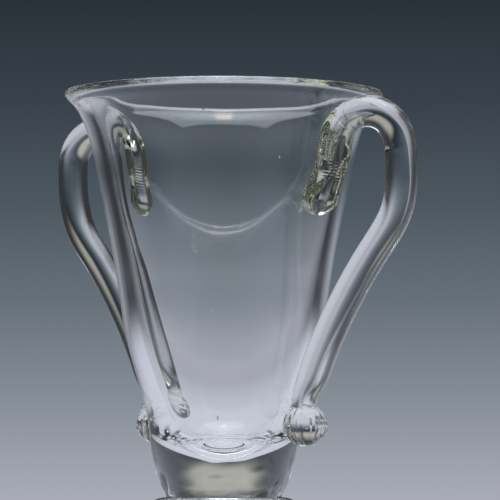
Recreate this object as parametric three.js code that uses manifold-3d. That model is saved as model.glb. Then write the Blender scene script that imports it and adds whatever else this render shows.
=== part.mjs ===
// Two-handled jelly glass, blown and hot-worked from clear lead glass.
//
// Five gathers of glass, each its own solid: a tapering bowl with an everted rim and a thick solid
// base, a flattened knop under it, a domed foot with a folded edge, and two looped handles. Each
// handle is one drawn rod: a tail laid down the wall under the rim, a loop, a run down to the wall
// and a ball-shaped lower end.
//
// Millimetres, +Z up. The origin is on the table, at the middle of the foot. The handles lie along X.

import * as THREE from "three";
import { mergeVertices } from "three/addons/utils/BufferGeometryUtils.js";
import Module from "manifold-3d";

// Foot
const FOOT_RADIUS = 32;
const FOOT_HEIGHT = 19;
const FOOT_NECK_RADIUS = 9;
const FOOT_WALL = 3.2; // thickness of the dome half way up it
const FOOT_HOLLOW_RISE = 0.5; // share of the dome's height that is hollow underneath
const FOOT_EDGE = 3; // thickness of the folded edge
const FOOT_FOLD = 6; // how far the fold reaches in from the edge
const FOOT_FOLD_RISE = 0.75; // how much higher the fold's upper face is at its inner end
const FOOT_FOLD_STEP = 0.8; // thickness that the fold adds underneath
const DOME_SHOULDER = { inwards: 0.5, up: 0.32 }; // shares of the way from the fold to the neck
const DOME_THROAT = { inwards: 0.85, up: 0.7 };

// Knop
const KNOP_HEIGHT = 8;
const KNOP_LEDGE = 0.3; // flat that shows round the seat of the bowl
const KNOP_SWELL = 4; // how far the rounded edge stands out past the flat

// Bowl, with heights above its own base
const BOWL_HEIGHT = 85.3;
const RIM_RADIUS = 34;
const RIM_WIDTH = 3.4; // across the level, fire-polished rim
const RIM_OUTER_ROUNDING = 0.5;
const RIM_INNER_ROUNDING = 1.4;
const RIM_EDGE_START = -Math.PI * 0.19; // where the rim's rounding leaves the outer wall
const RIM_EDGE_END = Math.PI * 0.83; // and where it meets the hollow's wall
const LIP_FLARE = 3.8; // how far the lip turns out
const LIP_DEPTH = 6.1; // height over which it turns out
const LIP_HALF_FLARE = 0.47; // share of the flare reached half way up the lip
const MIDDLE_RADIUS = 23.1;
const MIDDLE_HEIGHT = 47.6;
const UPPER_RADIUS = 26.75; // between the middle and the lip
const UPPER_HEIGHT = 66;
const WALL_BOW = 0.11; // share by which the lower wall bows out past a straight taper
const HIP_RADIUS = 16.2; // where the hollow wall runs into the solid base
const HIP_HEIGHT = 15.8;
const BULGE_RADIUS = 15.4; // the swell of the solid base
const BULGE_HEIGHT = 9;
const BULGE_FULLNESS = 0.64; // share of the swell reached half way up it
const SEAT_RADIUS = 12.2; // the base's flat underside, on the knop
const LIP_WALL = 3; // thickness of the wall, measured level, where the lip starts
const BOWL_WALL = 3; // half way up
const LOW_WALL = 3.7; // low down, where it thickens into the base
const BASE_THICKNESS = 8.5; // solid glass under the deepest point of the hollow
const FLOOR_RADIUS = 10.95; // the hollow's rounded floor, out to where its wall begins
const FLOOR_RISE = 6.7; // from the floor's middle up to that place
// The floor's curve between the two: shares of its radius and of its rise
const FLOOR_CURVE = [
  [0.88, 0.63],
  [0.43, 0.16],
];

// Handles
const CREST_DROP = 6.3; // from the rim down to the rod's centre-line at the top of the loop
const LOOP_REACH = 18.9; // from the wall out to the rod's centre-line
const ROD_RADIUS = 3.25;
const TAIL_HALF_WIDTH = 3.8; // along the wall, tooled wider than the rod
const TAIL_HALF_THICKNESS = 2.6; // square to the wall
const TAIL_WAIST = { depth: 0.16, place: 0.45, spread: 0.1 }; // shares, between the tail's two lobes
const TAIL_FLATTENED = { from: 1.1, to: 0.7 }; // shares of the tail over which the rod flattens
const BALL_HEIGHT = 15.4; // middle of the ball above the bowl's base
const BALL_RADIUS = 4.6;
const BALL_HALF_HEIGHT = 4.5;
const BALL_NOTCH = 0.62; // share of the rod lost, on its outer side, where it meets the ball
const BALL_NOTCH_LENGTH = 4; // along the rod
const PRESSED_IN = 0.6; // how far a tooled end is pressed into the line of the wall
const SEAT_GAP = 0.3; // clearance where a handle is cut to the wall it sits on

// The loop's centre-line from the crest down: how far it stands off the wall, as a share of
// LOOP_REACH, and how far down it is, as a share of the height from the crest to the ball
const LOOP_LINE = [
  [0.46, 0],
  [0.85, 0.055],
  [1, 0.16],
  [1, 0.317],
  [0.765, 0.442],
  [0.445, 0.6],
  [0.275, 0.715],
];
const LOOP_LANDING = 0.84; // the same share of height, where the rod comes down on the wall
const RIGHT_TAIL_LENGTH = 20.8; // from the crest down to the tail's tip
const LEFT_TAIL_LENGTH = 19.6;

// Each handle was set on by eye, so they differ. The angles are how far its crest and its ball stand
// round from the X axis, in degrees.
const HANDLES = [
  { name: "right_handle", crestAngle: 1, ballAngle: 10, tailLength: RIGHT_TAIL_LENGTH },
  { name: "left_handle", crestAngle: 178.5, ballAngle: 178, tailLength: LEFT_TAIL_LENGTH },
];

// Fineness of the faceted surfaces
const TURNED_SEGMENTS = 48;
const STEPS_PER_SPAN = 2; // between two points of an outline
const ARC_STEPS = 6;
const ROD_SIDES = 12;
const ROD_STEP = 2; // along the rod
const END_STEPS = 6; // rings that round off a rod's end
const MERGE_DISTANCE = 1e-4; // points closer than this are one

const wasm = await Module();
wasm.setup();

const glass = new THREE.MeshStandardMaterial({
  color: 0xdfe4e2,
  roughness: 0.03,
  metalness: 0,
  transparent: true,
  opacity: 0.35,
});

const { lerp, clamp, smoothstep, degToRad } = THREE.MathUtils;

// A smooth hump of height 1 round a middle
function hump(place, middle, spread) {
  return Math.exp(-(((place - middle) / spread) ** 2));
}

// A smooth curve through the given [radius, height] pairs, which doesn't swing past them
function curveThrough(pairs) {
  const points = pairs.map(([radius, height]) => new THREE.Vector3(radius, height, 0));
  return new THREE.CatmullRomCurve3(points, false, "centripetal");
}

// Points along that curve, ends included
function outlineThrough(pairs) {
  const points = curveThrough(pairs).getPoints((pairs.length - 1) * STEPS_PER_SPAN);
  return points.map((point) => new THREE.Vector2(point.x, point.y));
}

// Points on an elliptical arc, from one angle to a larger one, in radians from the outward direction
function arc(centreRadius, centreHeight, across, up, from, to, steps) {
  return new THREE.EllipseCurve(centreRadius, centreHeight, across, up, from, to).getPoints(steps);
}

// The rim's rounding outside, from the outer wall up to its level top
function rimOutside() {
  const radius = RIM_OUTER_ROUNDING;
  const across = RIM_RADIUS - radius;
  return arc(across, BOWL_HEIGHT - radius, radius, radius, RIM_EDGE_START, Math.PI / 2, ARC_STEPS);
}

// The rim's rounding inside, from its level top down to the hollow's wall
function rimInside() {
  const radius = RIM_INNER_ROUNDING;
  const across = RIM_RADIUS - RIM_WIDTH + radius;
  return arc(across, BOWL_HEIGHT - radius, radius, radius, Math.PI / 2, RIM_EDGE_END, ARC_STEPS);
}

// The outer wall of the bowl from the edge of its underside up to the rim's rounded edge
function bowlOutside() {
  const edge = rimOutside()[0];
  const lipRadius = RIM_RADIUS - LIP_FLARE;
  return outlineThrough([
    [SEAT_RADIUS, 0],
    [lerp(SEAT_RADIUS, BULGE_RADIUS, BULGE_FULLNESS), BULGE_HEIGHT / 2],
    [BULGE_RADIUS, BULGE_HEIGHT],
    [HIP_RADIUS, HIP_HEIGHT],
    [lerp(HIP_RADIUS, MIDDLE_RADIUS, 0.5 + WALL_BOW), lerp(HIP_HEIGHT, MIDDLE_HEIGHT, 0.5)],
    [MIDDLE_RADIUS, MIDDLE_HEIGHT],
    [UPPER_RADIUS, UPPER_HEIGHT],
    [lipRadius, BOWL_HEIGHT - LIP_DEPTH],
    [lipRadius + LIP_FLARE * LIP_HALF_FLARE, BOWL_HEIGHT - LIP_DEPTH / 2],
    [edge.x, edge.y],
  ]);
}

// The hollow's wall from the rim's rounded edge down to the middle of its floor
function bowlInside() {
  const edge = rimInside()[ARC_STEPS];
  const lipRadius = RIM_RADIUS - LIP_FLARE - LIP_WALL;
  return outlineThrough([
    [edge.x, edge.y],
    [lipRadius + LIP_FLARE * LIP_HALF_FLARE, BOWL_HEIGHT - LIP_DEPTH / 2],
    [lipRadius, BOWL_HEIGHT - LIP_DEPTH],
    [UPPER_RADIUS - BOWL_WALL, UPPER_HEIGHT],
    [MIDDLE_RADIUS - BOWL_WALL, MIDDLE_HEIGHT],
    [lerp(HIP_RADIUS, MIDDLE_RADIUS, 0.4) - LOW_WALL, lerp(HIP_HEIGHT, MIDDLE_HEIGHT, 0.31)],
    [FLOOR_RADIUS, BASE_THICKNESS + FLOOR_RISE],
    ...FLOOR_CURVE.map(([out, up]) => [FLOOR_RADIUS * out, BASE_THICKNESS + FLOOR_RISE * up]),
    [0, BASE_THICKNESS],
  ]);
}

// Radius of the bowl's outer wall at a height above the bowl's base
function wallRadius(height) {
  const outline = bowlOutside();
  const above = Math.max(1, outline.findIndex((point) => point.y >= height));
  const low = outline[above - 1];
  const high = outline[above];
  return lerp(low.x, high.x, (height - low.y) / (high.y - low.y));
}

// A solid of revolution about Z from an outline that starts and ends on the axis, bottom first
function turned(outline) {
  const geometry = new THREE.LatheGeometry(outline, TURNED_SEGMENTS);
  geometry.rotateX(Math.PI / 2);
  return geometry;
}

function bowlGeometry() {
  const underside = new THREE.Vector2(0, 0);
  const edge = [...rimOutside().slice(1), ...rimInside().slice(0, -1)];
  return turned([underside, ...bowlOutside(), ...edge, ...bowlInside()]);
}

// A collar with a rounded edge between two flat faces, each a little wider than the bowl's seat
function knopGeometry() {
  const flat = SEAT_RADIUS + KNOP_LEDGE;
  const half = KNOP_HEIGHT / 2;
  const side = arc(flat, half, KNOP_SWELL, half, -Math.PI / 2, Math.PI / 2, ARC_STEPS * 2);
  return turned([new THREE.Vector2(0, 0), ...side, new THREE.Vector2(0, KNOP_HEIGHT)]);
}

// The foot's dome and neck, a folded edge that rests on the table, and a hollow underside
function footGeometry() {
  const foldInner = FOOT_RADIUS - FOOT_FOLD;
  const dome = FOOT_HEIGHT - FOOT_EDGE;
  const shoulderRadius = lerp(foldInner, FOOT_NECK_RADIUS, DOME_SHOULDER.inwards);
  const shoulderHeight = FOOT_EDGE + dome * DOME_SHOULDER.up;
  const hollow = FOOT_EDGE + dome * FOOT_HOLLOW_RISE;
  const top = outlineThrough([
    [foldInner, FOOT_EDGE + FOOT_FOLD_RISE],
    [shoulderRadius, shoulderHeight],
    [lerp(foldInner, FOOT_NECK_RADIUS, DOME_THROAT.inwards), FOOT_EDGE + dome * DOME_THROAT.up],
    [FOOT_NECK_RADIUS, FOOT_HEIGHT],
  ]);
  const under = outlineThrough([
    [0, hollow],
    [FOOT_NECK_RADIUS, lerp(shoulderHeight - FOOT_WALL, hollow, 0.8)],
    [shoulderRadius, shoulderHeight - FOOT_WALL],
    [foldInner, FOOT_FOLD_STEP],
  ]);
  const step = FOOT_FOLD_STEP;
  const fold = arc(foldInner + step, step, step, step, Math.PI, Math.PI * 1.5, ARC_STEPS / 2);
  const edge = FOOT_EDGE / 2;
  const rim = arc(FOOT_RADIUS - edge, edge, edge, edge, -Math.PI / 2, Math.PI / 2, ARC_STEPS);
  return turned([...under, ...fold.slice(1), ...rim, ...top, new THREE.Vector2(0, FOOT_HEIGHT)]);
}

// The rod's centre-line, from the tail's tip over the loop and down through the ball, as distance
// from the glass's axis and height above the bowl's base
function handleCentreLine(tailLength) {
  const crest = BOWL_HEIGHT - CREST_DROP;
  const fall = crest - BALL_HEIGHT;
  const fromWall = (standOff, drop) => [wallRadius(crest - drop) + standOff, crest - drop];
  const tailStandOff = TAIL_HALF_THICKNESS - PRESSED_IN;
  const ballRadius = wallRadius(BALL_HEIGHT) + BALL_RADIUS - PRESSED_IN;
  return curveThrough([
    fromWall(tailStandOff, tailLength),
    fromWall(tailStandOff, tailLength / 2),
    fromWall(tailStandOff + PRESSED_IN, tailLength / 8),
    ...LOOP_LINE.map(([reach, down]) => fromWall(LOOP_REACH * reach, fall * down)),
    fromWall(ROD_RADIUS + SEAT_GAP, fall * LOOP_LANDING),
    [ballRadius, BALL_HEIGHT + BALL_HALF_HEIGHT * 0.75],
    [ballRadius, BALL_HEIGHT - BALL_HALF_HEIGHT],
  ]);
}

// The ball's radius at a distance from the rod's lower end, and nothing past the ball
function ballSection(fromEnd) {
  const fromMiddle = fromEnd / BALL_HALF_HEIGHT - 1;
  return Math.abs(fromMiddle) < 1 ? BALL_RADIUS * Math.sqrt(1 - fromMiddle ** 2) : 0;
}

// Half sizes of the rod's section at a distance from the tail's tip: out from the wall, in towards
// it, and along it. The tip is round, the tail is flattened and drawn in between its two lobes, and
// a notch on the outer side parts the rod from the ball, in whose middle it ends.
function rodSection(fromTip, length, tailLength) {
  const fromEnd = length - fromTip;
  const share = fromTip / tailLength;
  const ball = ballSection(fromEnd);
  const tip = Math.sqrt(1 - Math.max(0, 1 - fromTip / TAIL_HALF_WIDTH) ** 2);
  const round = fromEnd > BALL_HALF_HEIGHT ? tip : 0;
  const flattened = 1 - smoothstep(share, TAIL_FLATTENED.to, TAIL_FLATTENED.from);
  const waist = 1 - TAIL_WAIST.depth * hump(share, TAIL_WAIST.place, TAIL_WAIST.spread);
  const notch = 1 - BALL_NOTCH * hump(fromEnd, BALL_HALF_HEIGHT * 2, BALL_NOTCH_LENGTH);
  const thick = lerp(ROD_RADIUS, TAIL_HALF_THICKNESS, flattened) * round;
  const wide = lerp(ROD_RADIUS, TAIL_HALF_WIDTH * waist, flattened) * round;
  return {
    out: Math.max(ball, thick * notch),
    towards: Math.max(ball, thick),
    along: Math.max(ball, wide),
  };
}

// Distances from the tail's tip at which the rod gets a ring, closer together at both ends
function ringPlaces(length) {
  const ballStart = length - BALL_HALF_HEIGHT * 2;
  const notchStart = ballStart - BALL_NOTCH_LENGTH * 1.5;
  const places = [];
  for (let i = 1; i <= END_STEPS; i++) {
    places.push(TAIL_HALF_WIDTH * (1 - Math.cos((Math.PI / 2) * (i / END_STEPS))));
  }
  const shaftRings = Math.round((notchStart - TAIL_HALF_WIDTH) / ROD_STEP);
  for (let i = 1; i < shaftRings; i++) {
    places.push(lerp(TAIL_HALF_WIDTH, notchStart, i / shaftRings));
  }
  for (let i = 0; i < END_STEPS; i++) {
    places.push(lerp(notchStart, ballStart, i / END_STEPS));
  }
  for (let i = 0; i < END_STEPS * 2; i++) {
    places.push(ballStart + BALL_HALF_HEIGHT * (1 - Math.cos(Math.PI * (i / (END_STEPS * 2)))));
  }
  return places;
}

// Points of the rod: the tail's tip, then rings round the centre-line, then the ball's lower end
function rodPoints({ crestAngle, ballAngle, tailLength }) {
  const line = handleCentreLine(tailLength);
  const length = line.getLength();
  const crest = BOWL_HEIGHT - CREST_DROP;
  const points = [];
  const addPoint = (radius, height, sideways, share) => {
    const angle = degToRad(lerp(crestAngle, ballAngle, share));
    const x = radius * Math.cos(angle) - sideways * Math.sin(angle);
    const y = radius * Math.sin(angle) + sideways * Math.cos(angle);
    points.push(x, y, height);
  };
  const start = line.getPointAt(0);
  addPoint(start.x, start.y, 0, 0);
  for (const place of ringPlaces(length)) {
    const centre = line.getPointAt(place / length);
    const ahead = line.getTangentAt(place / length);
    const { out, towards, along } = rodSection(place, length, tailLength);
    const fallen = place < tailLength ? 0 : clamp((crest - centre.y) / (crest - BALL_HEIGHT), 0, 1);
    for (let side = 0; side < ROD_SIDES; side++) {
      const turn = (side / ROD_SIDES) * Math.PI * 2;
      const across = Math.cos(turn) * (Math.cos(turn) > 0 ? out : towards);
      addPoint(centre.x - ahead.y * across, centre.y + ahead.x * across, along * Math.sin(turn), fallen);
    }
  }
  const end = line.getPointAt(1);
  addPoint(end.x, end.y, 0, 1);
  return points;
}

// The whole rod before it is cut to the wall, as a closed skin over its points
function rodGeometry(handle) {
  const points = rodPoints(handle);
  const endPoint = points.length / 3 - 1;
  const last = (endPoint - 1) / ROD_SIDES - 1;
  const ring = (index, side) => 1 + index * ROD_SIDES + (side % ROD_SIDES);
  const faces = [];
  for (let side = 0; side < ROD_SIDES; side++) {
    faces.push(0, ring(0, side), ring(0, side + 1));
    faces.push(endPoint, ring(last, side + 1), ring(last, side));
    for (let index = 0; index < last; index++) {
      const [a, b] = [ring(index, side), ring(index, side + 1)];
      const [c, d] = [ring(index + 1, side), ring(index + 1, side + 1)];
      faces.push(a, c, b, b, c, d);
    }
  }
  const geometry = new THREE.BufferGeometry();
  geometry.setAttribute("position", new THREE.Float32BufferAttribute(points, 3));
  geometry.setIndex(faces);
  return geometry;
}

// A closed mesh as a solid that can be cut, without the flat slivers at a turned form's poles
function toSolid(geometry) {
  const bare = geometry.clone();
  bare.deleteAttribute("normal");
  bare.deleteAttribute("uv");
  const merged = mergeVertices(bare, MERGE_DISTANCE);
  const index = merged.index.array;
  const triangles = [];
  for (let i = 0; i < index.length; i += 3) {
    const [a, b, c] = index.slice(i, i + 3);
    if (a !== b && b !== c && c !== a) triangles.push(a, b, c);
  }
  return new wasm.Manifold(
    new wasm.Mesh({
      numProp: 3,
      vertProperties: Float32Array.from(merged.attributes.position.array),
      triVerts: Uint32Array.from(triangles),
    }),
  );
}

function toGeometry(solid) {
  const mesh = solid.getMesh();
  const geometry = new THREE.BufferGeometry();
  geometry.setAttribute("position", new THREE.BufferAttribute(mesh.vertProperties, 3));
  geometry.setIndex(new THREE.BufferAttribute(mesh.triVerts, 1));
  return geometry;
}

// The space inside the bowl's outside, grown by the seat gap, from its base up to its rim
function wallSpace() {
  const outside = [...bowlOutside(), ...rimOutside().slice(1)];
  const grown = outside.map((point, i) => {
    const before = outside[Math.max(0, i - 1)];
    const after = outside[Math.min(outside.length - 1, i + 1)];
    const along = after.clone().sub(before).normalize();
    return new THREE.Vector2(point.x + along.y * SEAT_GAP, point.y - along.x * SEAT_GAP);
  });
  const bottom = new THREE.Vector2(0, grown[0].y);
  const top = new THREE.Vector2(0, grown[grown.length - 1].y);
  return toSolid(turned([bottom, ...grown, top]));
}

function handleGeometry(handle, wall) {
  return toGeometry(toSolid(rodGeometry(handle)).subtract(wall));
}

function piece(name, geometry) {
  const mesh = new THREE.Mesh(geometry, glass);
  mesh.name = name;
  return mesh;
}

const jellyGlass = new THREE.Group();
jellyGlass.add(piece("foot", footGeometry()));

const knop = piece("knop", knopGeometry());
knop.position.z = FOOT_HEIGHT;
jellyGlass.add(knop);

const bowlGroup = new THREE.Group();
bowlGroup.position.z = FOOT_HEIGHT + KNOP_HEIGHT;
bowlGroup.add(piece("bowl", bowlGeometry()));
const wall = wallSpace();
for (const handle of HANDLES) {
  bowlGroup.add(piece(handle.name, handleGeometry(handle, wall)));
}
jellyGlass.add(bowlGroup);

export default jellyGlass;
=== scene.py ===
"""Two-handled jelly glass: a smooth surface and a finish for each gather of glass, and a plain stage."""

import math

import bpy
import numpy as np
from bpy.props import FloatProperty, PointerProperty, StringProperty
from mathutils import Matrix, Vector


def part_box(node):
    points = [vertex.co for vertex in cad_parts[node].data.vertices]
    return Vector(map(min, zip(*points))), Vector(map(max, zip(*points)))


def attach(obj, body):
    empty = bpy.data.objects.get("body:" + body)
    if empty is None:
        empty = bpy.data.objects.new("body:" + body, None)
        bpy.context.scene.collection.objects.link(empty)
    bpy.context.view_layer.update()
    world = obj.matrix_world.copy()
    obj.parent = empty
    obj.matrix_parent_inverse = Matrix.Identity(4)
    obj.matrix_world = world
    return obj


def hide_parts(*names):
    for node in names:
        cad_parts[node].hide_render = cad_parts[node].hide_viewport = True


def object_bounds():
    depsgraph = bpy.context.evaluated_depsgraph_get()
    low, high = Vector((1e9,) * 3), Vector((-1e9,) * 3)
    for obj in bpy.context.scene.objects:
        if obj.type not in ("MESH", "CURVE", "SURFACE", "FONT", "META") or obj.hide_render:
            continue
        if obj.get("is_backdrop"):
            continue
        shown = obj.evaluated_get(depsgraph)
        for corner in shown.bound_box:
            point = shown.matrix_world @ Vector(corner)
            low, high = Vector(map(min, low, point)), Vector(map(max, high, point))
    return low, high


bl_info = {
    "name": "Jelly glass",
    "version": (1, 0, 0),
    "blender": (4, 5, 0),
    "location": "3D View > Sidebar > Jelly glass",
    "description": "Makes a hand-blown two-handled jelly glass over its CAD solids, and a plain stage",
    "category": "Add Mesh",
}

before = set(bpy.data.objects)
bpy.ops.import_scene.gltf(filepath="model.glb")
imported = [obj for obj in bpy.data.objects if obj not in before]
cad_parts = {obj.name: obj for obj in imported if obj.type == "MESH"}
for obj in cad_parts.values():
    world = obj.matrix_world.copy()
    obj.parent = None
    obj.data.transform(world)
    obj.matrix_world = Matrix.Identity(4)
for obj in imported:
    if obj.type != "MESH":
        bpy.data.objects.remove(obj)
CAD_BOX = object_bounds()
BOWL_LOW, BOWL_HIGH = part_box("bowl")
KNOP_LOW, KNOP_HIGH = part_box("knop")
FOOT_LOW, FOOT_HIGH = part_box("foot")

MM = 0.001

# Fineness of the meshes
AROUND = 256
UP_THE_WALL = 300
ROD_AROUND = 72
ROD_STEP = 0.13 * MM
CURVE_STEPS = 60
FLAT_RINGS = 10
FLOOR_AROUND = 96
FLOOR_RINGS = 30


def length(name, description, default):
    """A length in metres that a user would change."""
    return FloatProperty(name=name, description=description, default=default, unit="LENGTH", precision=5)


class BowlSizes(bpy.types.PropertyGroup):
    """Sizes of the blown bowl. Heights are above its own base."""

    rim_radius: length("Rim radius", "Outside of the everted rim", BOWL_HIGH.x)
    height: length("Height", "From the base to the rim", BOWL_HIGH.z - BOWL_LOW.z)
    edge_radius: length("Edge radius", "Rounding of the fire-polished edge, outside", 0.5 * MM)
    inner_edge_radius: length("Inner edge radius", "Rounding of the edge, inside", 1.4 * MM)
    edge_width: length("Edge width", "Across the level rim", 3.4 * MM)
    lip_flare: length("Lip flare", "How far the lip turns out", 3.8 * MM)
    lip_depth: length("Lip depth", "Height over which the lip turns out", 6.1 * MM)
    middle_radius: length("Middle radius", "Outside, half way up the bowl", 23.1 * MM)
    middle_height: length("Middle height", "Height of that place", 47.6 * MM)
    upper_radius: length("Upper radius", "Outside, between the middle and the lip", 26.75 * MM)
    upper_height: length("Upper height", "Height of that place", 66 * MM)
    hip_radius: length("Hip radius", "Where the hollow wall runs into the solid base", 16.2 * MM)
    hip_height: length("Hip height", "Height of that place", 15.8 * MM)
    bulge_radius: length("Bulge radius", "The swell of the solid base", 15.4 * MM)
    bulge_height: length("Bulge height", "Height of the swell", 9 * MM)
    seat_radius: length("Seat radius", "The base's underside, fused to the knop", 12.2 * MM)
    base_thickness: length("Base thickness", "Solid glass under the hollow", 8.5 * MM)
    floor_radius: length("Floor radius", "The hollow's rounded floor", 10.95 * MM)
    floor_rise: length("Floor rise", "From the floor's middle up to its edge", 6.7 * MM)
    rim_sag: length("Rim sag", "How much lower the rim is at one side", 0.35 * MM)
    waviness: length("Waviness", "How far the blown wall strays from a true circle", 0.09 * MM)
    base_dents: length("Base dents", "Depth of the tools' dents round the solid base", 0.3 * MM)


class HandleSizes(bpy.types.PropertyGroup):
    """Sizes of a drawn handle: a tail, a loop, a run down to the wall and a ball."""

    rod_radius: length("Rod radius", "The drawn rod", 3.25 * MM)
    crest_drop: length("Crest drop", "From the rim down to the rod's middle at the top", 6.3 * MM)
    reach: length("Reach", "From the wall out to the rod's middle", 18.9 * MM)
    tail_width: length("Tail half width", "Along the wall", 3.8 * MM)
    tail_thickness: length("Tail half thickness", "Square to the wall", 2.6 * MM)
    ball_height: length("Ball height", "Middle of the ball above the bowl's base", 15.4 * MM)
    ball_radius: length("Ball radius", "The lower end, out from its middle", 4.6 * MM)
    ball_half_height: length("Ball half height", "From its middle to its tip", 4.5 * MM)
    pressed_in: length("Pressed in", "How far the tooled ends sink into the wall", 0.6 * MM)
    rib_depth: length("Rib depth", "Of the crimps across the tail's waist", 0.05 * MM)
    waffle_depth: length("Waffle depth", "Of the tool's diamonds on the ball", 0.2 * MM)
    facet_depth: length("Facet depth", "How flat the tools left the ball's sides", 0.3 * MM)
    groove_depth: length("Groove depth", "Of the rings round the ball where it meets the wall", 0.24 * MM)


class FootSizes(bpy.types.PropertyGroup):
    """Sizes of the knop and of the domed foot with its folded edge."""

    foot_radius: length("Foot radius", "Outside of the folded edge", FOOT_HIGH.x)
    foot_height: length("Foot height", "From the table to the knop", FOOT_HIGH.z - FOOT_LOW.z)
    neck_radius: length("Neck radius", "Top of the foot, under the knop", 9 * MM)
    wall: length("Wall", "Thickness of the dome", 3.2 * MM)
    edge: length("Edge", "Thickness of the folded edge", 3 * MM)
    fold: length("Fold", "How far the fold reaches in", 6 * MM)
    fold_step: length("Fold step", "Thickness that the fold adds underneath", 0.8 * MM)
    knop_radius: length("Knop radius", "Outside of the flattened knop", KNOP_HIGH.x)
    knop_flat: length("Knop flat", "The knop's flat top and underside", 12.5 * MM)


class GlassFinish(bpy.types.PropertyGroup):
    """Finish of the clear lead glass."""

    ior: FloatProperty(name="IOR", description="Lead glass, 1.5 to 1.6", default=1.54, min=1, max=2)
    roughness: FloatProperty(name="Roughness", description="Fire-polished: close to 0", default=0, max=1)
    bowl_tint: StringProperty(name="Bowl tint", description="sRGB hex colour", default="FEFEFE")
    handle_tint: StringProperty(name="Handle tint", description="sRGB hex colour", default="FEFEFD")
    tooled_tint: StringProperty(name="Tooled tint", description="Of the handles' tails", default="FDFDF5")
    foot_tint: StringProperty(name="Foot tint", description="sRGB hex colour", default="FEFEFE")
    cord_spacing: length("Cord spacing", "Between the faint cords in the blown glass", 7 * MM)
    cord_height: length("Cord height", "How far the cords stand out", 0.012 * MM)


class StageSettings(bpy.types.PropertyGroup):
    """The plain stage: a floor that fades into a far backdrop, three soft lamps and the camera."""

    camera_azimuth: FloatProperty(name="Azimuth", description="Camera round the glass, degrees", default=42)
    camera_distance: length("Distance", "Camera from the glass's axis", 0.61)
    camera_height: length("Height", "Camera above the floor", 0.0516)
    camera_pitch: FloatProperty(name="Pitch", description="Camera tilted up, degrees", default=2.567)
    camera_yaw: FloatProperty(name="Yaw", description="Camera turned right, degrees", default=0.514)
    focal_length: FloatProperty(name="Focal length", description="Millimetres, 36 mm sensor", default=208.8)
    floor_radius: length("Floor radius", "Out to where the floor has faded into the backdrop", 0.65)
    floor_colour: StringProperty(name="Floor colour", description="sRGB hex colour", default="E4E3E0")
    top_light: FloatProperty(name="Top light", description="Radiance of the overhead softbox", default=1.6)
    lamp_light: FloatProperty(name="Lamp light", description="Radiance of the lamp behind it", default=1.8)
    warm_light: FloatProperty(name="Warm light", description="Radiance of the narrow warm lamp", default=3.0)


def linear(code):
    """A linear colour from an sRGB hex code."""
    values = [int(code[i : i + 2], 16) / 255 for i in (0, 2, 4)]
    return tuple(v / 12.92 if v <= 0.04045 else ((v + 0.055) / 1.055) ** 2.4 for v in values)


# Curves and meshes


def smooth_curve(points, steps):
    """Points on the natural cubic spline through the given ones: its parameter is the length of the
    chords so far, and each span is the cubic whose second derivatives meet those of its neighbours."""
    points = np.asarray(points, float)
    chord = np.linalg.norm(np.diff(points, axis=0), axis=1)
    place = np.concatenate([[0], np.cumsum(chord)])
    count = len(points)
    matrix, right = np.eye(count), np.zeros((count, points.shape[1]))
    inner = np.arange(1, count - 1)
    matrix[inner, inner - 1] = chord[:-1] / 6
    matrix[inner, inner] = (chord[:-1] + chord[1:]) / 3
    matrix[inner, inner + 1] = chord[1:] / 6
    slope = np.diff(points, axis=0) / chord[:, None]
    right[1:-1] = np.diff(slope, axis=0)
    bend = np.linalg.solve(matrix, right)
    span = np.repeat(np.arange(count - 1), steps)
    t = np.tile(np.arange(steps) / steps, count - 1)
    span, t = np.append(span, count - 2), np.append(t, 1.0)
    h, a, b = chord[span][:, None], (1 - t)[:, None], t[:, None]
    straight = a * points[span] + b * points[span + 1]
    return straight + ((a**3 - a) * bend[span] + (b**3 - b) * bend[span + 1]) * h**2 / 6


def spread(points, count):
    """As many points as asked, evenly spaced along a fine polyline."""
    place = np.concatenate([[0], np.cumsum(np.linalg.norm(np.diff(points, axis=0), axis=1))])
    wanted = np.linspace(0, place[-1], count)
    return np.stack([np.interp(wanted, place, points[:, k]) for k in range(points.shape[1])], 1)


def arc(centre, across, up, start, end, steps):
    """Points of an elliptical arc round a centre, between two angles in degrees from outwards."""
    angle = np.radians(np.linspace(start, end, steps))
    return np.stack([centre[0] + across * np.cos(angle), centre[1] + up * np.sin(angle)], 1)


def round_circle(count):
    """Angles evenly round a circle, as a row."""
    return 2 * np.pi * np.arange(count)[None, :] / count


def about_axis(radius, angle, height):
    """Points round the Z axis: the radius times the cosine and the sine of the angle, and the height."""
    radius, angle, height = np.broadcast_arrays(radius, angle, height)
    return np.stack([radius * np.cos(angle), radius * np.sin(angle), height], -1)


def hump(place, middle, width):
    """A smooth hump of height 1: the exponential of minus the squared distance over the width."""
    return np.exp(-(((place - middle) / width) ** 2))


def ease(low, high, value):
    """Rises smoothly from 0 at low to 1 at high, as 3t^2 - 2t^3."""
    t = np.clip((value - low) / (high - low), 0, 1)
    return t * t * (3 - 2 * t)


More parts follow.
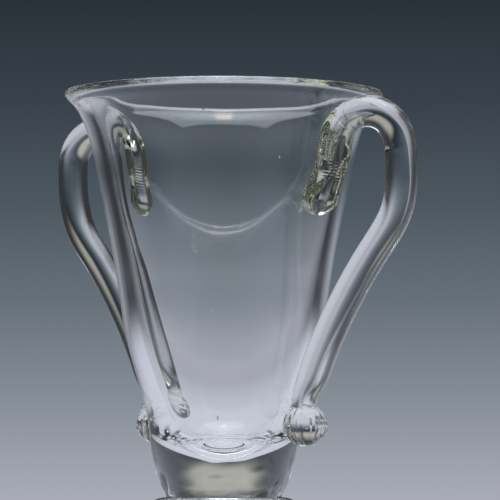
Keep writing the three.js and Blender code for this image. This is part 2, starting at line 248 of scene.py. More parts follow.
def skin(rings, start, end, inside_out=False):
    """A closed skin, as points, quads and triangles: rings of points as rows, with a point at either
    end. Quads join each ring to the next, and triangles join the first and last rings to the end
    points. All are turned round where the skin's volume, a sixth of the sum of the triple products of
    its triangles, says that they point in. Those of a bubble are to point in."""
    count, around = rings.shape[:2]
    points = np.concatenate([[start], rings.reshape(-1, 3), [end]])
    ring = 1 + np.arange(count)[:, None] * around + np.arange(around)[None, :]
    ahead = np.roll(ring, -1, axis=1)
    quads = np.stack([ring[:-1], ahead[:-1], ahead[1:], ring[1:]], -1).reshape(-1, 4)
    first = np.stack([np.zeros(around, int), ahead[0], ring[0]], -1)
    last = np.stack([np.full(around, len(points) - 1), ring[-1], ahead[-1]], -1)
    triangles = np.concatenate([first, last])
    fans = np.concatenate([quads[:, [0, 1, 2]], quads[:, [0, 2, 3]], triangles])
    a, b, c = (points[fans[:, k]] for k in range(3))
    if (np.einsum("ij,ij->i", a, np.cross(b, c)).sum() < 0) != inside_out:
        quads, triangles = quads[:, ::-1], triangles[:, ::-1]
    return points, quads, triangles


def place_in_scene(name, data):
    """A new object that shows a mesh or a camera."""
    thing = bpy.data.objects.new(name, data)
    bpy.context.scene.collection.objects.link(thing)
    return thing


def make_mesh(name, points, faces, materials):
    """A new object with a mesh of its own."""
    mesh = bpy.data.meshes.new(name)
    mesh.from_pydata(points, [], faces, shade_flat=False)
    for material in materials:
        mesh.materials.append(material)
    return place_in_scene(name, mesh)


def make_piece(name, parts, node, materials, buried, tooled=None):
    """A mesh object of one or more closed skins. It replaces a CAD node and rides on the one body.
    buried is each point's height over the neighbouring gather's surface, below 0 where fused. tooled is
    each point's share of the tools' touch: over a half, its faces take the second pair of materials."""
    points = np.concatenate([p for p, _, _ in parts])
    shift = np.cumsum([0] + [len(p) for p, _, _ in parts[:-1]])
    quads = np.concatenate([q + s for (_, q, _), s in zip(parts, shift)])
    triangles = np.concatenate([t + s for (_, _, t), s in zip(parts, shift)])
    piece = make_mesh(name, points, [*quads.tolist(), *triangles.tolist()], materials)
    mesh = piece.data
    height = np.full(len(points), 1.0)
    height[: len(buried)] = buried / MM
    mesh.attributes.new(FUSED, "FLOAT", "POINT").data.foreach_set("value", height.astype(np.float32))
    index = np.concatenate([height[quads].min(1), height[triangles].min(1)]) < JOIN_MARGIN
    if tooled is not None:
        touched = np.concatenate([tooled[quads].mean(1), tooled[triangles].mean(1)])
        index = index + 2 * (touched > 0.5)
    mesh.polygons.foreach_set("material_index", index.astype(np.int32))
    mesh.validate()
    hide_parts(node)
    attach(piece, "root")
    return piece


# The glass

# The attribute that holds each point's height over the neighbouring gather, in millimetres, and the
# height under which a face takes the material for a join
FUSED = "over_neighbour"
JOIN_MARGIN = 0.02
# How the cords' noise is squeezed along the axis, to draw it out
CORD_STRETCH = 0.25


def add_node(tree, kind, settings=None, links=None):
    """Adds a node, sets its properties or sockets, and links its inputs to outputs, or to the first
    output of other nodes."""
    node = tree.nodes.new("ShaderNode" + kind)
    for key, value in (settings or {}).items():
        if isinstance(key, str) and hasattr(node, key):
            setattr(node, key, value)
        else:
            node.inputs[key].default_value = value
    for key, source in (links or {}).items():
        tree.links.new(getattr(source, "outputs", [source])[0], node.inputs[key])
    return node


def new_material(name):
    """An empty node material and its nodes."""
    material = bpy.data.materials.new(name)
    material.use_nodes = True
    material.node_tree.nodes.clear()
    return material, material.node_tree


def lead_glass(name, tint, finish, fused=False):
    """Lead glass, blown or drawn hot and fire-polished: no grain, a bright Fresnel edge, and faint cords,
    the long soft ridges left by the blowing, drawn as stretched noise. Near a hot join it ends where the
    surface dips under the next gather's."""
    material, tree = new_material(name)
    place = add_node(tree, "TexCoord").outputs["Object"]
    drawn = add_node(tree, "Mapping", {"Scale": (1, 1, CORD_STRETCH)}, {"Vector": place})
    cords = {"Scale": 1 / finish.cord_spacing, "Detail": 1.0, "Roughness": 0.4}
    cords = add_node(tree, "TexNoise", cords, {"Vector": drawn})
    relief = add_node(tree, "Bump", {"Distance": finish.cord_height}, {"Height": cords})
    glass = {"Color": (*linear(tint), 1), "Roughness": finish.roughness, "IOR": finish.ior}
    glass = add_node(tree, "BsdfGlass", glass, {"Normal": relief})
    if fused:
        height = add_node(tree, "Attribute", {"attribute_name": FUSED}).outputs["Fac"]
        bare = add_node(tree, "Math", {"operation": "GREATER_THAN", 1: 0.0}, {0: height})
        join = {0: bare, 1: add_node(tree, "BsdfTransparent"), 2: glass}
        glass = add_node(tree, "MixShader", links=join)
    add_node(tree, "OutputMaterial", links={"Surface": glass})
    return material


def glass_pair(name, tint, finish):
    """The glass in the open and the same glass near a join, as two materials."""
    joined = name.replace("glass", "glass_join")
    return [lead_glass(name, tint, finish), lead_glass(joined, tint, finish, fused=True)]


# The bowl

# Heights above the bowl's base, and the blown wall's thickness there, square to its outside
WALL_HEIGHTS = MM * np.array([81.5, 78.5, 72, 66, 60, 52.5, 45, 38, 32, 23.3, 18.3])
WALL_THICKNESS = MM * np.array([2.52, 2.69, 2.82, 2.81, 2.83, 2.94, 3.12, 3.28, 3.42, 3.74, 4.28])
# The hollow's floor from its edge inwards: shares of its radius and of its rise
FLOOR_CURVE = [(1, 1), (0.877, 0.627), (0.433, 0.164)]
# The rim is level, between an outer and an inner rounded corner, in degrees from outwards
RIM_TURN = (-34, 90, 150)
# Shares reached half way up: of the base's swell, of the lower wall's widening and of the lip's flare
SWELL, LOWER_WALL_BOW, HALF_FLARE = 0.64, 0.61, 0.47


def bowl_outline(sizes):
    """The bowl's section as [radius, height] points, from the edge of its seat up the outside, over
    the rim and down the hollow to the middle of its floor: one smooth curve through a few points.
    Those of the hollow's wall lie its thickness in from the outside, square to it."""
    top = sizes.height
    lip = sizes.rim_radius - sizes.lip_flare
    round_edge = sizes.edge_radius
    bowed = sizes.hip_radius + (sizes.middle_radius - sizes.hip_radius) * LOWER_WALL_BOW
    outside = [
        (sizes.seat_radius, 0),
        (sizes.seat_radius + (sizes.bulge_radius - sizes.seat_radius) * SWELL, sizes.bulge_height / 2),
        (sizes.bulge_radius, sizes.bulge_height),
        (sizes.hip_radius, sizes.hip_height),
        (bowed, (sizes.hip_height + sizes.middle_height) / 2),
        (sizes.middle_radius, sizes.middle_height),
        (sizes.upper_radius, sizes.upper_height),
        (lip, top - sizes.lip_depth),
        (lip + sizes.lip_flare * HALF_FLARE, top - sizes.lip_depth / 2),
    ]
    start, level, end = RIM_TURN
    inner = sizes.inner_edge_radius
    corner = (sizes.rim_radius - round_edge, top - round_edge)
    inner_corner = (sizes.rim_radius - sizes.edge_width + inner, top - inner)
    edge = [
        *arc(corner, round_edge, round_edge, start, level, 5),
        *arc(inner_corner, inner, inner, level, end, 5),
    ]
    outer = smooth_curve([*outside, *edge], CURVE_STEPS)[: (len(outside) - 1) * CURVE_STEPS + 1]
    way = np.gradient(outer, axis=0)
    way /= np.linalg.norm(way, axis=1)[:, None]
    rows = np.abs(outer[:, 1][:, None] - WALL_HEIGHTS).argmin(0)
    wall = outer[rows] + np.stack([-way[rows, 1], way[rows, 0]], 1) * WALL_THICKNESS[:, None]
    floor = [
        (sizes.floor_radius * out, sizes.base_thickness + sizes.floor_rise * up) for out, up in FLOOR_CURVE
    ]
    past_axis = [(-radius, height) for radius, height in floor[::-1]]
    knots = [*outside, *edge, *wall, *floor, (0, sizes.base_thickness), *past_axis]
    curve = smooth_curve(knots, CURVE_STEPS)
    return curve[: (len(knots) - 1 - len(past_axis)) * CURVE_STEPS + 1]


def wall_radius(height):
    """Radius of the bowl's outer wall at heights above its base, before it strays."""
    sizes = bpy.context.scene.jelly_bowl
    outline = bowl_outline(sizes)
    outer = outline[: int(np.argmax(outline[:, 0]))]
    return np.interp(height, outer[:, 1], outer[:, 0])


def outer_stray(angle, height):
    """How far the blown wall strays from a true circle, growing from the solid base up to the rim:
    a few slow waves round the axis, each turned a little with height, and dents on the solid base."""
    sizes = bpy.context.scene.jelly_bowl
    up = height / sizes.height
    waves = (
        np.cos(2 * angle + 0.7)
        + 0.5 * np.cos(3 * angle - 1.1 + 2.0 * up)
        + 0.22 * np.cos(7 * angle + 2.3 * up)
        + 0.12 * np.cos(13 * angle + 1.9 - 3.1 * up)
    )
    dents = np.cos(5 * angle + 1.3) * np.cos(2 * np.pi * height / (6.5 * MM) + 0.8)
    dents += 0.6 * np.cos(11 * angle - 0.7 - height / (2.2 * MM))
    dents *= ease(0.3 * MM, 2 * MM, height) * ease(8.5 * MM, 5 * MM, height)
    return -sizes.waviness * ease(0.0, 0.9, up) * (1.9 - waves) / 2 + sizes.base_dents * (dents - 1.6) / 2


def inner_stray(angle, height):
    """The hollow strays in its own way, so the wall's thickness varies in long upright streaks."""
    sizes = bpy.context.scene.jelly_bowl
    up = height / sizes.height
    waves = (
        np.cos(2 * angle + 0.9)
        + 0.45 * np.cos(4 * angle + 0.4 - 1.5 * up)
        + 0.3 * np.cos(9 * angle + 2.6 * up)
        + 0.16 * np.cos(17 * angle - 0.8 + 4.0 * up)
    )
    return -sizes.waviness * ease(0.1, 0.9, up) * (1.9 - waves) / 2


def seed(centre, size, stretch=1.0, sides=12, steps=8):
    """A seed: a tiny bubble caught in the glass, an ellipsoid drawn out upwards. Its faces point to
    its own middle, away from the glass round it."""
    down = np.pi * np.arange(1, steps)[:, None] / steps
    ring = about_axis(np.sin(down), round_circle(sides), np.cos(down) * stretch)
    centre = np.array(centre)
    pole = np.array([0, 0, size * stretch])
    return skin(ring * size + centre, centre + pole, centre - pole, inside_out=True)


# Each seed in the bowl: degrees round from the X axis, millimetres above the table, distance from the
# axis as a share of the wall's own, radius in millimetres and stretch
BOWL_SEEDS = [
    (-56.2, 106.2, 0.955, 0.28, 1.0),
    (-23.0, 96.8, 0.955, 0.22, 1.1),
    (-40.3, 82.7, 0.955, 0.30, 1.0),
    (-65.0, 49.2, 0.95, 0.20, 1.0),
    (-52.8, 44.0, 0.9, 0.22, 2.2),
    (-54.0, 38.1, 0.93, 0.20, 1.0),
    (140.0, 66.0, 0.955, 0.20, 1.2),
    (75.0, 88.0, 0.955, 0.22, 1.0),
    (215.0, 58.0, 0.95, 0.18, 1.3),
]


def bowl_seeds():
    """Skins of the seeds in the bowl's wall."""
    for degrees, height, share_out, size, stretch in BOWL_SEEDS:
        radius = float(wall_radius(height * MM - BOWL_LOW.z)) * share_out
        angle = math.radians(degrees)
        middle = (radius * math.cos(angle), radius * math.sin(angle), height * MM)
        yield seed(middle, size * MM, stretch)


class JELLY_OT_bowl(bpy.types.Operator):
    """Make the blown bowl: a tapering wall with an everted rim, and a thick solid base"""

    bl_idname = "jelly_glass.bowl"
    bl_label = "Bowl"

    def execute(self, context):
        sizes, finish = context.scene.jelly_bowl, context.scene.jelly_finish
        outline = spread(bowl_outline(sizes), UP_THE_WALL)
        rim = int(np.argmax(outline[:, 1]))
        out = np.linspace(0, sizes.seat_radius, FLAT_RINGS + 2)[1:-1]
        seat = np.stack([out, np.zeros(FLAT_RINGS)], 1)
        outline = np.concatenate([seat, outline[:-1]])
        rim += len(seat)
        angle = round_circle(AROUND)
        height = outline[:, 1][:, None] * np.ones_like(angle)
        stray = np.where(
            np.arange(len(outline))[:, None] <= rim, outer_stray(angle, height), inner_stray(angle, height)
        )
        radius = outline[:, 0][:, None] + stray * ease(0, 8 * MM, outline[:, 0])[:, None]
        sag = sizes.rim_sag * ease(0.7, 1.0, height / sizes.height) * ((1 + np.cos(angle - 1.3)) / 2) ** 2
        rings = about_axis(radius, angle, height + BOWL_LOW.z - sag)
        floor = BOWL_LOW.z + sizes.base_thickness
        wall = skin(rings, (0, 0, BOWL_LOW.z), (0, 0, floor))
        points = wall[0]
        buried = over_seat(points, BOWL_LOW.z, sizes.seat_radius)
        for handle in HANDLES.values():
            buried = np.minimum(buried, over_handle(points, handle))
        materials = glass_pair("blown_lead_glass", finish.bowl_tint, finish)
        make_piece("glass_bowl", [wall, *bowl_seeds()], "bowl", materials, buried)
        return {"FINISHED"}


# Shares of a seat's radius: where a gather's own seat ends, and where that of the gather under it does
JUST_INSIDE, JUST_OUTSIDE = 0.9999, 1.0002


def over_seat(points, height, radius):
    """Below 0 on the flat circle where two gathers are fused one on the other."""
    flat = np.abs(points[:, 2] - height) < 1e-6
    out = np.linalg.norm(points[:, :2], axis=1)
    return np.where(flat & (out < radius * JUST_INSIDE), -1.0, 1.0) * MM


# The handles

# Each handle was set on by eye: how far its crest and its ball stand round from the X axis, in
# degrees, how far its tail reaches down from the crest, how far its tip leans aside, and where along
# the rod a chip is, less than nothing for none
HANDLES = {
    "right": {"crest": 1.0, "ball": 10.0, "tail": 20.8 * MM, "lean": -2.4 * MM, "chip": 38 * MM},
    "left": {"crest": 178.5, "ball": 178.0, "tail": 19.6 * MM, "lean": 0.0, "chip": -9 * MM},
}

# The loop's centre-line from the crest down: shares of the reach off the wall, and of the fall from
# the crest to the ball
LOOP_LINE = [(0.46, 0), (0.85, 0.055), (1, 0.16), (1, 0.317), (0.765, 0.442), (0.445, 0.6), (0.275, 0.715)]
LOOP_LANDING = 0.84
# The rod's height over the wall where it lands, and the gap from its ends to its first and last rings
LANDING_GAP, END_GAP = 0.3 * MM, 0.01 * MM
# The share of the tail that the tools touched
TOOLED_SHARE = 0.9
# How much narrower the rod is at the tail's waist and, on its outer side, over the ball, and how much
# squarer than an ellipse the tail is
WAIST, NOTCH, TAIL_SQUARENESS = 0.16, 0.62, 1.2
# From one mark of a tool to the next: the tail's crimps, the ball's diamonds and its rings
CRIMP_PITCH, WAFFLE_PITCH, RING_PITCH = 0.65 * MM, 1.5 * MM, 1.8 * MM
# The height of the bead at the tail's tip and the depth of the chip, as shares of the rod's half size
BEAD, CHIP = 0.10, 0.22


def handle_line(handle):
    """The rod's centre-line as [distance from the axis, height above the bowl's base], evenly
    spaced from the tail's tip over the loop and down through the ball."""
    sizes, bowl = bpy.context.scene.jelly_handles, bpy.context.scene.jelly_bowl
    crest = bowl.height - sizes.crest_drop
    fall = crest - sizes.ball_height

    def off_wall(stand_off, drop):
        """A point so far off the wall and so far below the crest."""
        return float(wall_radius(crest - drop)) + stand_off, crest - drop

    tail_off = sizes.tail_thickness - sizes.pressed_in
    ball_out = float(wall_radius(sizes.ball_height)) + sizes.ball_radius - sizes.pressed_in
    points = [
        off_wall(tail_off, handle["tail"]),
        off_wall(tail_off, handle["tail"] / 2),
        off_wall(tail_off + sizes.pressed_in, handle["tail"] / 8),
        *[off_wall(sizes.reach * reach, fall * down) for reach, down in LOOP_LINE],
        off_wall(sizes.rod_radius + LANDING_GAP, fall * LOOP_LANDING),
        (ball_out, sizes.ball_height + sizes.ball_half_height * 0.75),
        (ball_out, sizes.ball_height - sizes.ball_half_height),
    ]
    fine = smooth_curve(points, CURVE_STEPS)
    total = np.linalg.norm(np.diff(fine, axis=0), axis=1).sum()
    return spread(fine, int(total / ROD_STEP)), total


def rod_section(place, total, handle):
    """Half sizes of the rod at distances from the tail's tip: on the loop's outer side, on its inner
    side, and along the wall, and how square the section is: 2 is an ellipse."""
    sizes = bpy.context.scene.jelly_handles
    tail = handle["tail"]
    from_end = total - place
    middle = from_end / sizes.ball_half_height - 1
    ball = sizes.ball_radius * np.sqrt(np.clip(1 - middle**2, 0, None))
    tip = np.sqrt(1 - np.clip(1 - place / sizes.tail_width, 0, 1) ** 2)
    round_off = np.where(from_end > sizes.ball_half_height, tip, 0)
    flattened = 1 - ease(0.7, 1.1, place / tail)
    waist = 1 - WAIST * hump(place / tail, 0.45, 0.1)
    notch = 1 - NOTCH * hump(from_end, sizes.ball_half_height * 2, 4 * MM)
    thick = (sizes.rod_radius + (sizes.tail_thickness - sizes.rod_radius) * flattened) * round_off
    wide = (sizes.rod_radius + (sizes.tail_width * waist - sizes.rod_radius) * flattened) * round_off
    outer, inner, along = np.maximum(ball, thick * notch), np.maximum(ball, thick), np.maximum(ball, wide)
    return outer, inner, along, 2 + TAIL_SQUARENESS * flattened


def rod_detail(place, turn, total, handle):
    """What the tools left on the rod, as a share of its half size. On the tail: fine crimps across its
    waist, and a bead at its tip. On the ball: flats, the diamonds of a waffled tool on the outside and
    rings towards the wall. On the loop's inner side: a chip."""
    sizes = bpy.context.scene.jelly_handles
    off_wall = ease(0.2, 0.75, -np.cos(turn))
    ribs = np.cos(2 * np.pi * place / CRIMP_PITCH) * hump(place, handle["tail"] * 0.47, 1.7 * MM)
    crimps = sizes.rib_depth / sizes.tail_thickness * ribs * off_wall
    bead = BEAD * hump(place, 3.0 * MM, 1.3 * MM) * off_wall
    from_end = total - place
    ball = sizes.ball_radius
    on_ball = hump(from_end, sizes.ball_half_height * 0.9, sizes.ball_half_height * 0.75)
    away = ease(0.3, 0.7, np.cos(turn))
    across = turn * ball
    diamonds = np.cos(np.pi * (from_end + across) / WAFFLE_PITCH)
    diamonds = diamonds * np.cos(np.pi * (from_end - across) / WAFFLE_PITCH)
    waffle = sizes.waffle_depth / ball * diamonds * on_ball * away
    slant = from_end / sizes.ball_half_height
    flats = np.abs(np.sin(1.5 * turn + 0.9 * slant + 0.6)) * np.abs(np.cos(2.2 * slant - 0.4 * turn - 0.5))
    flats = sizes.facet_depth / ball * (flats - 0.7) * on_ball
    rings = np.cos(2 * np.pi * np.cos(turn) * ball / RING_PITCH) * ease(0.5, 0.1, np.cos(turn))
    rings = sizes.groove_depth / ball * rings * on_ball
    chip = handle["chip"]
    chipped = hump(place, chip, 0.8 * MM) * hump(np.abs(turn - np.pi), 0.25, 0.35)
    return crimps + bead + waffle + flats + rings - CHIP * chipped


def superellipse(turn, outer, inner, along, square):
    """A point of the section at a turn from the loop's outer side: cosine and sine, each drawn out
    so that the sum of their powers is 1, times the half sizes."""
    c, s = np.cos(turn), np.sin(turn)
    norm = (np.abs(c) ** square + np.abs(s) ** square) ** (-1 / square)
    return c * norm * np.where(c > 0, outer, inner), s * norm * along


def handle_frame(handle):
    """The centre-line's points, its directions, the places along it and its total length."""
    line, total = handle_line(handle)
    ahead = np.gradient(line, axis=0)
    ahead /= np.linalg.norm(ahead, axis=1)[:, None]
    return line, ahead, np.linspace(0, total, len(line)), total


def ring_frame(handle):
    """The same, only where the rod has a ring of points: all but its two ends."""
    line, ahead, place, total = handle_frame(handle)
    rows = (place > END_GAP) & (place < total - END_GAP)
    return line[rows], ahead[rows], place[rows], total


def handle_angle(height, place, handle):
    """How far the rod stands round from the X axis, in radians: it swings from the crest's angle to
    the ball's as it falls, and the tail keeps the crest's but for its tip, which leans aside."""
    sizes, bowl = bpy.context.scene.jelly_handles, bpy.context.scene.jelly_bowl
    crest = bowl.height - sizes.crest_drop
    tail = handle["tail"]
    fallen = np.where(place < tail, 0, np.clip((crest - height) / (crest - sizes.ball_height), 0, 1))
    lean = handle["lean"] / bowl.upper_radius * (1 - ease(0.1, 0.6, place / tail))
    return np.radians(handle["crest"] + (handle["ball"] - handle["crest"]) * fallen) + lean


def handle_rings(handle):
    """Rings of points round the centre-line: the section carried along it, square to it."""
    line, ahead, place, total = ring_frame(handle)
    place, turn = place[:, None], round_circle(ROD_AROUND)
    outer, inner, along, square = rod_section(place, total, handle)
    across, sideways = superellipse(turn, outer, inner, along, square)
    grow = 1 + rod_detail(place, turn, total, handle)
    across, sideways = across * grow, sideways * grow
    out = line[:, 0:1] - ahead[:, 1:2] * across
    up = line[:, 1:2] + ahead[:, 0:1] * across
    angle = handle_angle(line[:, 1:2], place, handle)
    x = out * np.cos(angle) - sideways * np.sin(angle)
    y = out * np.sin(angle) + sideways * np.cos(angle)
    return np.stack([x, y, up + BOWL_LOW.z], -1)


# A handle touches the wall with its tail and its ball: the heights between which the ball is, the
# length of rod that has it, and the length that has the tail, as a share of the tail's own. Then how
# far to either side points are looked for, how deep in the wall, and how far the distance is given
BALL_LEVELS, BALL_END, TAIL_END = (4 * MM, 40 * MM), 20 * MM, 1.6
BESIDE, HALF_WALL, AS_FAR = 8 * MM, 1.5 * MM, 1 * MM


def over_handle(points, handle):
    """How far points of the bowl's outer wall lie outside a handle, in metres, below 0 inside it:
    each is set against the section at the nearest place on the centre-line."""
    line, ahead, place, total = handle_frame(handle)
    result = np.full(len(points), AS_FAR)
    height = points[:, 2] - BOWL_LOW.z
    outside = np.hypot(points[:, 0], points[:, 1]) > wall_radius(height) - HALF_WALL
    low, high = BALL_LEVELS
    tail = height > high, place < handle["tail"] * TAIL_END
    ball = (height > low) & (height < high), place > total - BALL_END
    for degrees, (level, rows) in ((handle["crest"], tail), (handle["ball"], ball)):
        turn = math.radians(degrees)
        out = points[:, 0] * math.cos(turn) + points[:, 1] * math.sin(turn)
        side = points[:, 1] * math.cos(turn) - points[:, 0] * math.sin(turn)
        near = np.flatnonzero((out > 0) & (np.abs(side) < BESIDE) & level & outside)
        spot = np.stack([out[near], height[near]], -1)
        nearest = ((spot[:, None] - line[rows][None]) ** 2).sum(-1).argmin(1)
        nearest = np.flatnonzero(rows)[nearest]
        offset, way, here = spot - line[nearest], ahead[nearest], place[nearest]
        across = -offset[:, 0] * way[:, 1] + offset[:, 1] * way[:, 0]
        outer, inner, along, square = rod_section(here, total, handle)
        half = np.where(across > 0, outer, inner)
        small = 1e-6
        swing = handle_angle(line[nearest, 1], here, handle) - turn
        aside = side[near] - line[nearest, 0] * swing
        size = np.abs(across / (half + small)) ** square + np.abs(aside / (along + small)) ** square
        size = size ** (1 / square)
        reach = np.hypot(across, aside) / (size + small)
        result[near] = np.minimum(result[near], np.clip((size - 1) * reach, -AS_FAR, AS_FAR))
    return result


class JELLY_OT_handle(bpy.types.Operator):
    """Make a handle: a rod laid on under the rim, drawn out into a loop and pressed on lower down"""

    bl_idname = "jelly_glass.handle"
    bl_label = "Handle"

    side: StringProperty(name="Side", description="right or left", default="right")

    def execute(self, context):
        handle, finish = HANDLES[self.side], context.scene.jelly_finish
        rings = handle_rings(handle)
        rod = skin(rings, rings[0].mean(0), rings[-1].mean(0))
        points = rod[0]
        height = points[:, 2] - BOWL_LOW.z
        angle = np.arctan2(points[:, 1], points[:, 0])
        buried = np.hypot(points[:, 0], points[:, 1]) - wall_radius(height) - outer_stray(angle, height)
        materials = [
            *glass_pair(f"drawn_lead_glass_{self.side}", finish.handle_tint, finish),
            *glass_pair(f"tooled_lead_glass_{self.side}", finish.tooled_tint, finish),
        ]
        _, _, place, _ = ring_frame(handle)
        tooled = (place < handle["tail"] * TOOLED_SHARE).astype(float)
        tooled = np.concatenate([[1], np.repeat(tooled, ROD_AROUND), [1]])
        name, node = f"{self.side}_glass_handle", f"{self.side}_handle"
        make_piece(name, [rod], node, materials, buried, tooled)
        return {"FINISHED"}


# The knop and the foot

# The dome's shape: shares of the way in from the fold to the neck and up it, the share of its height
# that is hollow underneath, and how much higher the fold is at its inner end
DOME_SHOULDER, DOME_THROAT = (0.5, 0.32), (0.85, 0.7)
HOLLOW_RISE = 0.5
FOLD_RISE = 0.75 * MM


def turned(outline, start, end):
    """A skin of revolution about Z from an outline of [radius, height] points off the axis."""
    rings = about_axis(outline[:, 0][:, None], round_circle(AROUND), outline[:, 1][:, None])
    return skin(rings, (0, 0, start), (0, 0, end))


class JELLY_OT_foot(bpy.types.Operator):
    """Make the flattened knop and the domed foot with its folded edge"""

    bl_idname = "jelly_glass.foot"
    bl_label = "Knop and foot"

    def execute(self, context):
        sizes, finish = context.scene.jelly_foot, context.scene.jelly_finish
        seat = context.scene.jelly_bowl.seat_radius
        materials = glass_pair("tooled_lead_glass", finish.foot_tint, finish)
        low, high = KNOP_LOW.z, KNOP_HIGH.z
        flat, half = sizes.knop_flat, (high - low) / 2
        side = arc((flat, low + half), sizes.knop_radius - flat, half, -90, 90, 60)
        neck_out = np.linspace(0, sizes.neck_radius, FLAT_RINGS)[1:]
        inside = [*neck_out, *np.linspace(sizes.neck_radius, flat, 6)[1:-1]]
        top = [*np.linspace(flat, seat, 3)[1:], *np.linspace(0, seat, FLAT_RINGS)[-2:0:-1]]
        outline = np.array([*[(r, low) for r in inside], *side, *[(r, high) for r in top]])
        parts = turned(outline, low, high)
        buried = np.minimum(
            over_seat(parts[0], high, seat * JUST_OUTSIDE),
            over_seat(parts[0], low, sizes.neck_radius * JUST_OUTSIDE),
        )
        make_piece("glass_knop", [parts], "knop", materials, buried)

        fold_inner = sizes.foot_radius - sizes.fold
        dome = sizes.foot_height - sizes.edge
        shoulder, throat = (
            (fold_inner + (sizes.neck_radius - fold_inner) * inwards, sizes.edge + dome * up)
            for inwards, up in (DOME_SHOULDER, DOME_THROAT)
        )
        hollow = sizes.edge + dome * HOLLOW_RISE
        under_neck = (sizes.neck_radius, 0.2 * (shoulder[1] - sizes.wall) + 0.8 * hollow)
        under = smooth_curve(
            [
                (-under_neck[0], under_neck[1]),
                (0, hollow),
                under_neck,
                (shoulder[0], shoulder[1] - sizes.wall),
                (fold_inner, sizes.fold_step),
            ],
            CURVE_STEPS,
        )[CURVE_STEPS + 1 :]
        step, edge = sizes.fold_step, sizes.edge / 2
        fold = arc((fold_inner + step, step), step, step, 180, 270, 8)[1:]
        rim = arc((sizes.foot_radius - edge, edge), edge, edge, -90, 90, 24)
        neck = (sizes.neck_radius, sizes.foot_height)
        top = smooth_curve([(fold_inner, sizes.edge + FOLD_RISE), shoulder, throat, neck], CURVE_STEPS)
        cap = [(r, sizes.foot_height) for r in neck_out[-2::-1]]
        outline = np.concatenate([under, fold, rim, spread(top, 90), cap])
        parts = turned(outline, hollow, sizes.foot_height)
        buried = over_seat(parts[0], sizes.foot_height, sizes.neck_radius * JUST_OUTSIDE)
        make_piece("glass_foot", [parts], "foot", materials, buried)
        return {"FINISHED"}


# The stage

# Bounces that light may take inside the glass
BOUNCES = 64
# The floor's colour fades with the distance out from the glass, in metres
FLOOR_FADE = [(0.0, "D0D5E1"), (0.30, "C0C4D1"), (0.65, "A8ABB6")]
# The far backdrop's colour by its elevation in degrees
BACKDROP_FADE = [
    (-2.3, "A8ABB6"),
    (-0.4, "868E98"),
    (1.6, "667079"),
    (3.5, "4D5760"),
    (5.5, "39424B"),
    (7.5, "293038"),
    (10.0, "24292F"),
    (25.0, "181B1F"),
    (45.0, "101214"),
]
# A pale card far behind, above the photograph's edge, so only the glass shows it there. It starts and
# is whole at the first two elevations, in degrees, and fades out again by the last two. To either side
# it is whole up to the first sine of the angle and gone at the second
CARD_COLOUR = "A9A8A2"
CARD_ELEVATION = (9.0, 14.0, 21.0, 34.0)
CARD_HALF_WIDTH = (0.16, 0.7)
# What only the glass shows: the unlit room in front of the stage, and painted shade to its sides: a dark
# colour for the unlit studio there. They start and are whole at these distances on the floor, in metres,
# and these sines of the angle far away
ROOM_COLOUR = "4A4B41"
UNLIT_SIDES_COLOUR = "33363A"
ROOM_ON_FLOOR = (0.16, 0.42)
ROOM_FAR_AWAY = (0.25, 0.6)
# Where the lit paper gives way to its plain colour, in metres out from the glass
PAPER_FADE = (0.15, 0.45)
# Each lamp: its name and its radiance's, how far it is towards the camera and how high, how wide and
# how deep, its colour, and the share of its middle that has its full light
LAMPS = [
    ("overhead_softbox", "top_light", (0.0, 0.8), (0.94, 0.8), "EDF7FF", 0.93),
    ("overhead_lamp", "lamp_light", (0.0, 0.79), (0.94, 0.7), "EDF7FF", 0.1),
    ("warm_lamp_diffuser", "warm_light", (0.03, 0.78), (0.12, 0.36), "FFE9D2", 0.4),
]


def camera_ways():
    """The camera's azimuth, and the level directions towards it and to its right: the sine and minus
    the cosine of the azimuth, and its cosine and sine."""
    azimuth = math.radians(bpy.context.scene.jelly_stage.camera_azimuth)
    sine, cosine = math.sin(azimuth), math.cos(azimuth)
    return azimuth, (sine, -cosine, 0), (cosine, sine, 0)


